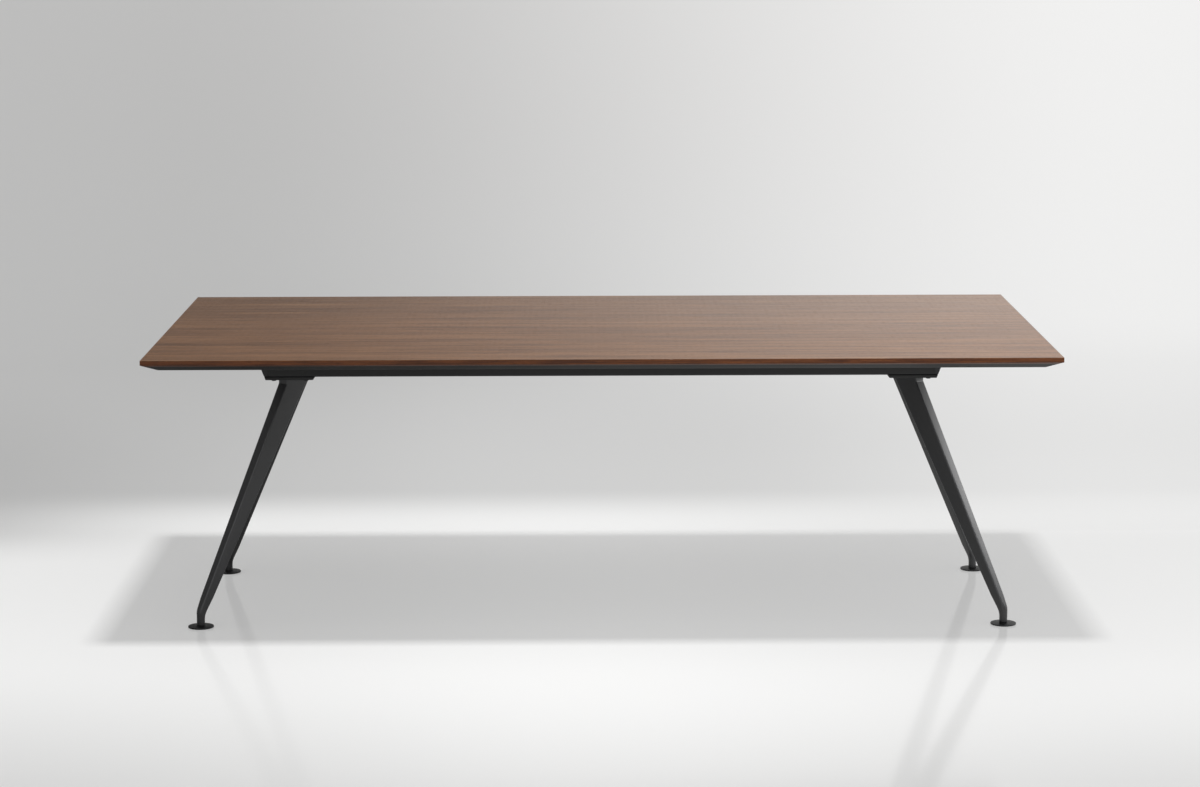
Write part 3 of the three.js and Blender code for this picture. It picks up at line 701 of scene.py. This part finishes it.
class TABLE_OT_legs(bpy.types.Operator):
    """Cast legs: level sections from a round post, through a knee, to a rounded oblong under the plate. The
    outer and inner edges are each the larger of the post's edge and a straight line up to the leg's top."""

    bl_idname = "table.legs"
    bl_label = "Cast Legs"

    # The rounding of both ends, and how softly the outer and inner edges bend, in metres.
    rounding = 0.0007
    outer_bend = 0.005
    inner_bend = 0.008
    # Heights of the sections in metres: below the leg's top and neck, along its taper and close at its knee.
    below_top = 0.002
    below_neck = 0.004
    taper = np.linspace(0.6, 0.1, 26)
    knee = np.linspace(0.0965, 0.016, 70)

    def execute(self, context):
        sizes = context.scene.table_frame
        foot = context.scene.table_foot
        coat = black_coat("leg_coat", sizes.casting, sizes.worn_edge, 1300.0, 0.34, 0.000022, 1.5)
        angles = round_angles(64)
        post = sizes.post_diameter / 2
        outer_top = sizes.leg_reach - sizes.leg_top_length / 2
        inner_top = sizes.leg_reach + sizes.leg_top_length / 2
        bore = foot.stem_diameter / 2 + foot.socket_gap
        recess = foot.hex_width / 2 / math.cos(math.pi / 6) + 1.5 * foot.socket_gap
        inset, drop = quarter_round(self.rounding, 5)
        for corner, (end, side) in CORNERS.items():
            low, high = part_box(f"leg_{corner}")
            axis, stem_half = middle_and_half(f"foot_stem_{corner}")
            neck = high.z - sizes.leg_neck
            neck_levels = np.linspace(high.z - self.below_top, neck - self.below_neck, 14)
            between = np.r_[neck_levels, self.taper, self.knee]
            levels = column(high.z - drop, between, low.z + drop[::-1])
            shrink = column(inset, np.zeros(len(between)), inset[::-1])
            outer_rise = (np.minimum(levels, neck) - sizes.outer_knee) / (neck - sizes.outer_knee)
            inner_rise = (levels - sizes.inner_knee) / (high.z - sizes.inner_knee)
            outer = rounded_max(-post, -post + outer_rise * (outer_top + post), self.outer_bend) + shrink
            inner = rounded_max(post, post + inner_rise * (inner_top - post), self.inner_bend) - shrink
            above = np.maximum(levels - sizes.inner_knee, 0)
            growth = (sizes.leg_top_width - sizes.post_diameter) / (high.z - sizes.inner_knee)
            half_width = post + growth * above / 2 - shrink
            squareness = np.minimum(above / sizes.knee_blend, 1)
            radius = post + (sizes.leg_corner - post) * squareness - shrink
            along, across, near = rounded_section(angles, (inner - outer) / 2, half_width, radius)
            recess_roof = low.z + foot.hex_height + foot.socket_gap
            bore_roof = axis.z + stem_half.z + foot.socket_gap
            bore_radii = column(recess, recess, bore, bore, 0)
            bore_levels = column(low.z, recess_roof, recess_roof, bore_roof, bore_roof)
            top = np.zeros((1, len(angles)))
            middle = (inner + outer) / 2
            along = np.vstack([top + sizes.leg_reach, along + middle, bore_radii * np.cos(angles)])
            across = np.vstack([top, across, bore_radii * np.sin(angles)])
            turn = math.atan2(-side, -end)
            x = axis.x + along * math.cos(turn) - across * math.sin(turn)
            y = axis.y + along * math.sin(turn) + across * math.cos(turn)
            z = np.vstack([column(high.z), levels, bore_levels])
            values = {"edge": np.vstack([top, near * squareness, np.repeat(top, len(bore_radii), axis=0)])}
            piece = lofted(f"cast_leg_{corner}", points(x, y, z), values)
            fit(piece, coat, f"leg_{corner}")
        return {"FINISHED"}


class TABLE_OT_discs(bpy.types.Operator):
    """Foot discs: a turned profile with a rounded rim, a low crown that falls with a cosine of the radius, a
    socket and a recess for the sole."""

    bl_idname = "table.discs"
    bl_label = "Foot Discs"

    # The width of the rim's polished band, and how far it stays off the disc's lower edge, in metres.
    worn_band = 0.0012
    worn_start = 0.0003

    def execute(self, context):
        foot = context.scene.table_foot
        coat = turned_coat("disc_coat", foot.disc, context.scene.table_frame.worn_edge)
        angles = round_angles(96)
        flat = foot.disc_flat / 2
        recess = foot.sole_diameter / 2 + foot.socket_gap
        socket = foot.stem_diameter / 2 + foot.socket_gap
        inset, drop = quarter_round(foot.disc_rounding, 7)
        crown = np.linspace(1, 0, 14)[1:]
        for corner in CORNERS:
            node = f"foot_disc_{corner}"
            low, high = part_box(node)
            socket_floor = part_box(f"foot_stem_{corner}")[0].z
            recess_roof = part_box(f"foot_sole_{corner}")[1].z
            edge = (high.x - low.x) / 2
            rim_top = low.z + foot.disc_rim
            crown_radii = flat + crown * (edge - foot.disc_rounding - flat)
            crown_heights = high.z - (high.z - rim_top) * (1 - np.cos(crown * math.pi / 2))
            socket_radii = (socket + EASE, socket, socket, 0)
            socket_heights = (high.z, high.z - EASE, socket_floor, socket_floor)
            rim_radii = np.r_[edge - inset / 2, edge - inset[::-1]]
            rim_heights = np.r_[low.z + drop / 2, rim_top - drop[::-1]]
            radii = column(0, recess, recess, rim_radii, crown_radii, socket_radii)
            heights = column(recess_roof, recess_roof, low.z, rim_heights, crown_heights, socket_heights)
            rim = np.exp(-(((radii - edge) / self.worn_band) ** 2)) * (heights > low.z + self.worn_start)
            values = {"edge": rim, "reach": radii}
            piece = turned(f"foot_plate_{corner}", node, radii, heights, angles, values)
            fit(piece, coat, node, f"foot_{corner}")
        return {"FINISHED"}


class TABLE_OT_soles(bpy.types.Operator):
    """Soles: a turned pad with a rounded lower edge and shallow grooves underneath, where a cosine of the
    radius is near its top."""

    bl_idname = "table.soles"
    bl_label = "Foot Soles"

    # The lower edge's rounding, and the grooves' pitch, depth and distance from middle and edge, in metres.
    rounding = 0.0006
    pitch = 0.008
    depth = 0.0006
    margin = 0.003

    def execute(self, context):
        foot = context.scene.table_foot
        coat = soft_sole("sole_elastomer", foot.sole)
        angles = round_angles(72)
        inset, drop = quarter_round(self.rounding, 5)
        for corner in CORNERS:
            node = f"foot_sole_{corner}"
            low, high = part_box(node)
            edge = (high.x - low.x) / 2
            inner = np.linspace(0, edge - self.rounding, 60)
            wave = 0.5 + 0.5 * np.cos(inner * math.tau / self.pitch)
            grooved = (inner > self.margin) * (inner < edge - self.margin)
            groove = self.depth * np.clip(wave * 3 - 2, 0, 1) * grooved
            radii = column(inner, edge - inset[1:], edge, 0)
            heights = column(low.z + groove, low.z + drop[1:], high.z, high.z)
            piece = turned(f"soft_sole_{corner}", node, radii, heights, angles)
            fit(piece, coat, node, f"foot_{corner}")
        return {"FINISHED"}


class TABLE_OT_stems(bpy.types.Operator):
    """Stems: a collar, a chamfered hexagon and a screw thread whose radius falls and rises once a pitch, in
    step with the angle, so that its crest winds round as a helix."""

    bl_idname = "table.stems"
    bl_label = "Threaded Stems"

    # The length over which the thread gains its depth, and the height of the hexagon's chamfers, in metres.
    lead = 0.001
    chamfer = 0.0005
    # The cone that chamfers the hexagon, over half its width, and the slope and crest of the thread's flanks.
    hex_cone = 1.02
    flank_slope = 2.5
    flank_crest = 0.15

    def execute(self, context):
        foot = context.scene.table_foot
        coat = metal_coat("stem_zinc", foot.zinc, 300.0, 0.24, 1.0)
        angles = np.arange(60) * math.tau / 60
        plain = np.ones(len(angles))
        radius, lead = foot.stem_diameter / 2, self.lead
        flats = hexagon(angles, foot.hex_width / 2)
        cone = np.minimum(flats, foot.hex_width / 2 * self.hex_cone)
        for corner in CORNERS:
            node = f"foot_stem_{corner}"
            low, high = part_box(node)
            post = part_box(f"leg_{corner}")[0].z
            hex_top = post + foot.hex_height
            levels = np.linspace(hex_top, high.z - lead, 240)[:, None]
            phase = np.mod((levels - hex_top) / foot.thread_pitch - angles / math.tau, 1)
            flank = np.clip(np.abs(phase - 0.5) * self.flank_slope - self.flank_crest, 0, 1)
            fade = np.clip((levels - hex_top) / lead, 0, 1) * np.clip((high.z - levels) / (2 * lead), 0, 1)
            collar = column(0, radius - EASE, radius, radius) * plain
            thread = radius - foot.thread_depth * flank * fade
            tip = column(radius - lead, 0) * plain
            radii = np.vstack([collar, cone, flats, flats, cone, radius * plain, thread, tip])
            hex_levels = (post, post, post + self.chamfer, hex_top - self.chamfer, hex_top, hex_top)
            heights = column(low.z, low.z, low.z + EASE, hex_levels, levels[:, 0], high.z, high.z)
            piece = turned(f"threaded_stem_{corner}", node, radii, heights, angles, crease=38.0)
            fit(piece, coat, node, f"stem_{corner}")
        return {"FINISHED"}


def socket_screw(name, node, head, seat, shank, dome, key):
    """A screw with a hexagon socket, its head down, on the upright axis of a CAD node. Stations run from the
    socket's end down its flats, over the head, up to the seat and along the shank."""
    mouth, tip = 0.0003, 0.001
    low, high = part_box(node)
    height = high.z - low.z
    angles = np.arange(48) * math.tau / 48
    flats = hexagon(angles, key / 2)
    rim = max(head / 2 - dome, key * 0.75)
    inset, drop = quarter_round(1.0, 6)
    outside = column(
        rim, rim + (head / 2 - rim) * (1 - inset), head / 2, shank / 2, shank / 2, shank / 2 - tip, 0
    )
    radii = np.vstack([0 * flats, flats * 0.98, flats, flats + mouth, outside * np.ones(len(angles))])
    socket = seat * 0.55
    curve = drop * min(dome, seat * 0.8)
    rises = column(socket, socket, mouth, 0, 0, curve, seat, seat, height - tip, height, height)
    return turned(name, node, radii, low.z + rises, angles)


class TABLE_OT_bolts(bpy.types.Operator):
    """Rail bolts: domed heads with hexagon sockets under the end plates."""

    bl_idname = "table.bolts"
    bl_label = "Rail Bolts"

    def execute(self, context):
        coat = metal_coat("blackened_bolt", context.scene.table_foot.black_bolt, 500.0, 0.3, 0.85)
        for corner in CORNERS:
            for place in ("outer", "inner"):
                node = f"rail_bolt_{corner}_{place}"
                fit(socket_screw(f"button_{node}", node, *BOLT_SIZES), coat, node)
        return {"FINISHED"}


class TABLE_OT_screws(bpy.types.Operator):
    """Screws: pan heads in the bearers, under the top, and flush heads in the end plates, over the legs."""

    bl_idname = "table.screws"
    bl_label = "Screws"

    def execute(self, context):
        coat = metal_coat("screw_zinc", context.scene.table_foot.zinc, 600.0, 0.26, 1.0)
        for place in BEARERS:
            for side in SIDES:
                node = f"top_screw_{place}_{side}"
                fit(socket_screw(f"pan_{node}", node, *SCREW_SIZES), coat, node)
        dress(coat, *[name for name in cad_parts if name.startswith(("leg_screw_", "nut_bar_"))])
        return {"FINISHED"}


def stage_sheet(name, stops, rises):
    """A sheet for the stage: a line of points in Y and Z carried along X."""
    grid = points(np.linspace(-STAGE_REACH, STAGE_REACH, 31)[:, None], stops, rises)
    index = np.arange(grid.shape[0] * grid.shape[1]).reshape(grid.shape[:2])
    quads = np.stack([index[:-1, :-1], index[1:, :-1], index[1:, 1:], index[:-1, 1:]], axis=-1)
    mesh = bpy.data.meshes.new(name)
    mesh.from_pydata(grid.reshape(-1, 3).tolist(), [], quads.reshape(-1, 4).tolist())
    mesh.shade_smooth()
    return placed(name, mesh)


def studio_paper_painted_light(name):
    """Pale paper of the stage: a painted glow that only camera, mirror and clear rays see, over a matt sheet
    that takes the shadow, with a faint polish. The glow is painted light. It holds a pool of light round the
    table, painted shade in the floor's far left corner and at the wall's foot, and a wall lighter to the
    right. For mirror rays it holds a painted reflection, dark at the left and light at the right, which gives
    the top its sheen. The sheet's grey is painted shade, paler at the left and darker at the right. It is
    clear from behind."""
    coat = Coat(name)
    x, y, z = coat.parts()
    wall = z.step(0.0, 0.085)
    # Painted shade: the floor darkens in its far left corner, behind the table.
    corner = x.step(-2.2, -1.0, 0.42, 0.0) * y.step(0.4, 1.1)
    # Painted pool of light on the floor: it fades towards the front, and is a little darker at the left and
    # lighter at the right.
    painted_light_pool = 0.40 - y.step(-2.4, -0.7, 0.29, 0.0) - corner + x.step(-1.3, 0.2, -0.04, 0.055)
    # Painted shade at the wall's foot: darker low on the right part of the wall, and low at its far left.
    painted_right_foot_shade = z.step(0.16, 0.6, 0.13, 0.0) * x.step(-0.6, 0.7)
    painted_left_foot_shade = z.step(0.12, 0.5, 1.0, 0.0) * x.step(-2.1, -0.8, 0.09, 0.0)
    # The wall's painted glow: lighter towards the right, and less at its foot.
    upright = 0.32 + x.step(-1.36, 1.72) * 0.375 - painted_right_foot_shade - painted_left_foot_shade
    glow = painted_light_pool * (1 - wall) + wall * upright
    # Painted reflection that only mirror rays see, held in sheen: dark at the left and light at the right. On
    # the wall above the top's height it gives the top its sheen; lower down it follows the glow.
    painted_floor_reflection = 0.05 + x.step(-1.4, 1.4) * 0.75
    painted_wall_reflection = z.step(0.45, 0.75) * (x.step(-1.4, 1.7) * 0.92 + 0.06 - glow) + glow
    sheen = painted_floor_reflection * (1 - wall) + wall * painted_wall_reflection
    seen = coat.node("LightPath", out="Is Camera Ray")
    mirrored = seen.math("MAXIMUM", seen.output("Is Glossy Ray"), seen.output("Is Transmission Ray"))
    shine = (glow * seen + sheen * mirrored).blend((0, 0, 0, 1), (1, 1, 0.995, 1))
    glowing = coat.node("Emission", {"Color": shine, "Strength": 1.0})
    # Painted shade: the floor's grey is paler at the left and darker at the right.
    painted_shade_floor_grey = x.step(-0.4, 1.2).blend((0.72, 0.72, 0.715, 1), (0.54, 0.54, 0.536, 1))
    matt = coat.node("BsdfDiffuse", {"Color": wall.blend(painted_shade_floor_grey, (0.3, 0.3, 0.298, 1))})
    paper = coat.node("AddShader", {0: glowing, 1: matt})
    polish = coat.node("BsdfGlossy", {"Color": (1, 1, 1, 1), "Roughness": 0.1})
    sheet = coat.node("MixShader", {0: (1 - wall) * 0.12, 1: paper, 2: polish})
    behind = coat.node("NewGeometry", out="Backfacing")
    clear = coat.node("BsdfTransparent")
    both = coat.node("MixShader", {0: behind, 1: sheet, 2: clear})
    coat.node("OutputMaterial", {"Surface": both})
    return coat.material


def studio_world(name):
    """Even white surroundings, brighter to the camera than to the table."""
    world = bpy.data.worlds.new(name)
    world.use_nodes = True
    world.node_tree.nodes.clear()
    seen = Socket(world.node_tree).node("LightPath", out="Is Camera Ray")
    white = seen.blend((0.42, 0.42, 0.42, 1), (0.8, 0.8, 0.8, 1))
    background = seen.node("Background", {"Color": white, "Strength": 1.0})
    seen.node("OutputWorld", {"Surface": background})
    return world


def looking(right, over, back, place):
    """The matrix of an object at a place, from its own three axes."""
    matrix = np.eye(4)
    matrix[:3] = np.stack([right, over, back, place], axis=1)
    return Matrix(matrix.tolist())


def add_lamp(name, place, aim, size, watts, lit):
    """A soft lamp at a place, turned towards a point. It lights the listed objects alone."""
    data = bpy.data.lights.new(name, "AREA")
    data.shape = "RECTANGLE"
    data.size, data.size_y = size
    data.energy = watts
    lamp = placed(name, data)
    back = np.subtract(place, aim)
    back = back / np.linalg.norm(back)
    # A lamp that looks almost straight down is set upright along Y.
    right = np.cross((0.0, 1.0, 0.0) if abs(back[2]) > 0.95 else (0.0, 0.0, 1.0), back)
    right /= np.linalg.norm(right)
    lamp.matrix_world = looking(right, np.cross(back, right), back, place)
    lamp.visible_camera = False
    lamp.visible_glossy = name not in UNMIRRORED_LAMPS
    lamp.light_linking.receiver_collection = bpy.data.collections.new(f"{name}_lights")
    for lit_object in lit:
        lamp.light_linking.receiver_collection.objects.link(lit_object)


def add_camera(name):
    """A long lens from the front, a little above the top, as fitted to the photograph."""
    data = bpy.data.cameras.new(name)
    data.sensor_fit = "HORIZONTAL"
    data.sensor_width = SENSOR_WIDTH
    data.lens = FOCAL_PIXELS * SENSOR_WIDTH / PHOTO_WIDTH
    data.clip_end = 200
    pitch, yaw, roll = np.radians(CAMERA_TURNS)
    level = np.array([math.cos(yaw), -math.sin(yaw), 0])
    ahead = np.array([math.sin(yaw) * math.cos(pitch), math.cos(yaw) * math.cos(pitch), -math.sin(pitch)])
    over = np.cross(level, ahead)
    right = math.cos(roll) * level + math.sin(roll) * over
    up = -math.sin(roll) * level + math.cos(roll) * over
    camera = placed(name, data)
    camera.matrix_world = looking(right, up, -ahead, CAMERA_PLACE)
    return camera


class TABLE_OT_stage(bpy.types.Operator):
    """Stage: a pale floor that sweeps up behind the table, a lamp overhead, soft fills and the camera."""

    bl_idname = "table.stage"
    bl_label = "Stage"

    def execute(self, context):
        scene = context.scene
        paper = studio_paper_painted_light("studio_paper_painted_light")
        floor = stage_sheet("studio_floor", np.linspace(-STAGE_REACH, STAGE_REACH, 31), 0.0)
        arc = np.linspace(0, math.pi / 2, 24)
        wall_place = WALL_START + WALL_BEND
        stops = np.r_[WALL_START + WALL_BEND * np.sin(arc), wall_place, wall_place]
        rises = np.r_[WALL_BEND * (1 - np.cos(arc)), WALL_HEIGHTS]
        wall = stage_sheet("studio_wall", stops, rises + WALL_LIFT)
        for sheet in (floor, wall):
            sheet.data.materials.append(paper)
        wall.visible_shadow = False
        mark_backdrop(floor, wall)
        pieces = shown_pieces()
        legs = [piece for piece in pieces if piece.name.startswith("cast_leg_")]
        lit = {"shadow_lamp": [floor, wall], "rim_lamp": legs}
        for name, settings in LAMPS.items():
            add_lamp(name, *settings, lit.get(name, pieces))
        scene.world = studio_world("studio_world")
        scene.view_settings.view_transform = "Standard"
        scene.camera = add_camera("photo_camera")
        return {"FINISHED"}


OPERATORS = (
    TABLE_OT_face,
    TABLE_OT_lippings,
    TABLE_OT_board,
    TABLE_OT_rails,
    TABLE_OT_caps,
    TABLE_OT_bearers,
    TABLE_OT_plates,
    TABLE_OT_legs,
    TABLE_OT_discs,
    TABLE_OT_soles,
    TABLE_OT_stems,
    TABLE_OT_bolts,
    TABLE_OT_screws,
    TABLE_OT_stage,
)
GROUPS = {"table_top": TopSettings, "table_frame": FrameSettings, "table_foot": FootSettings}


class TABLE_PT_pieces(bpy.types.Panel):
    """Lists the operators that build the table, and their settings."""

    bl_idname = "TABLE_PT_pieces"
    bl_label = "Conference Table"
    bl_space_type = "VIEW_3D"
    bl_region_type = "UI"
    bl_category = "Table"

    def draw(self, context):
        for operator in OPERATORS:
            self.layout.operator(operator.bl_idname)
        for name, group in GROUPS.items():
            for key in group.__annotations__:
                self.layout.prop(getattr(context.scene, name), key)


CLASSES = (*GROUPS.values(), *OPERATORS, TABLE_PT_pieces)


def register():
    for each in CLASSES:
        bpy.utils.register_class(each)
    for name, group in GROUPS.items():
        setattr(bpy.types.Scene, name, PointerProperty(type=group))


def unregister():
    for name in GROUPS:
        delattr(bpy.types.Scene, name)
    for each in reversed(CLASSES):
        bpy.utils.unregister_class(each)


def main():
    register()
    for operator in OPERATORS:
        family, call = operator.bl_idname.split(".")
        getattr(getattr(bpy.ops, family), call)()


if __name__ == "__main__":
    main()
